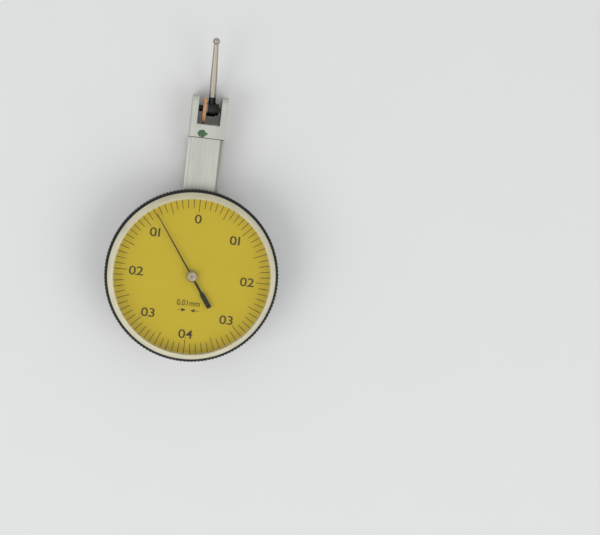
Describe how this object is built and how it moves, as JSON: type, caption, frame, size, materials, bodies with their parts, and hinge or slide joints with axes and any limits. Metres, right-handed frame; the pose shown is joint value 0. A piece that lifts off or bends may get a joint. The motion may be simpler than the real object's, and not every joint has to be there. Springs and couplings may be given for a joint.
{
  "type": "dial test indicator",
  "caption": "Lever-type dial test indicator: slim dovetailed bar with a forked head and swivelling ball contact, round yellow dial under a bevelled clear cap in a black coin-edged bezel.",
  "frame": {"origin": "where the dial axis meets the flat back of the bar, which is the wide face of the back dovetail", "axes": "+Z along the dial normal, out of the dial; +Y along the bar, towards the contact point; the bar is symmetric about X=0"},
  "size_m": [0.038, 0.071, 0.0149],
  "materials": {
    "satin_steel": "satin",
    "black_enamel": "gloss",
    "clear_cap": "polished",
    "yellow_dial": "matte",
    "movement_brass": "satin",
    "movement_steel": "polished",
    "ruby": "polished",
    "copper_lever": "satin",
    "black_steel": "satin",
    "bright_steel": "polished",
    "black_hand": "satin",
    "spring_steel": "satin"
  },
  "bodies": {
    "housing": {"body": "satin_steel", "movement_plate": "movement_brass", "plate_screws": "movement_steel", "centre_cock": "movement_brass", "centre_jewels": "ruby", "crown_bushes": "movement_brass", "sector_bushes": "movement_brass", "pivot_screws": "movement_steel", "hairspring": "spring_steel", "hairspring_stud": "movement_steel", "snap_ring": "spring_steel"},
    "bezel": {"bezel_ring": "black_enamel", "crystal": "clear_cap", "dial_plate": "yellow_dial"},
    "pointer": {"centre_staff": "movement_steel", "hairspring_collet": "movement_brass", "pointer_hand": "black_hand", "pointer_cap": "bright_steel"},
    "crown": {"crown_arbor": "movement_steel", "crown_wheel": "movement_brass"},
    "sector": {"sector_arbor": "movement_steel", "sector_lever": "movement_brass"},
    "lever": {"contact_lever": "copper_lever", "lever_axle": "movement_steel", "drive_pin": "movement_steel", "friction_washer": "spring_steel", "clamp_nut": "movement_steel"},
    "stylus": {"stylus_holder": "black_steel", "stylus_shank": "bright_steel", "contact_ball": "bright_steel"}
  },
  "joints": [
    {"name": "bezel_turn", "type": "hinge", "parent": "housing", "child": "bezel", "pos_m": [0, 0, 0.0106], "axis": [0, 0, 1], "continuous": true},
    {"name": "pointer_spin", "type": "hinge", "parent": "housing", "child": "pointer", "pos_m": [0, 0, 0.009], "axis": [0, 0, -1], "range_deg": [0, 405], "stiffness_Nm_per_rad": 0.000001, "springref_deg": -859.44},
    {"name": "crown_spin", "type": "hinge", "parent": "housing", "child": "crown", "pos_m": [0, 0, 0.0042], "axis": [-1, 0, 0], "range_deg": [0, 84.38]},
    {"name": "sector_swing", "type": "hinge", "parent": "housing", "child": "sector", "pos_m": [0, 0.0136, 0.0042], "axis": [1, 0, 0], "range_deg": [0, 5.27]},
    {"name": "contact_tilt", "type": "hinge", "parent": "housing", "child": "lever", "pos_m": [0, 0.0367, 0.0042], "axis": [-1, 0, 0], "range_deg": [0, 3.36]},
    {"name": "stylus_swivel", "type": "hinge", "parent": "lever", "child": "stylus", "pos_m": [0, 0.0367, 0.0042], "axis": [1, 0, 0], "range_deg": [-128, 92]}
  ],
  "couplings": [
    {"joint": "crown_spin", "follows": "pointer_spin", "ratio": 0.20833},
    {"joint": "sector_swing", "follows": "pointer_spin", "ratio": 0.013021},
    {"joint": "contact_tilt", "follows": "pointer_spin", "ratio": 0.0082935}
  ]
}
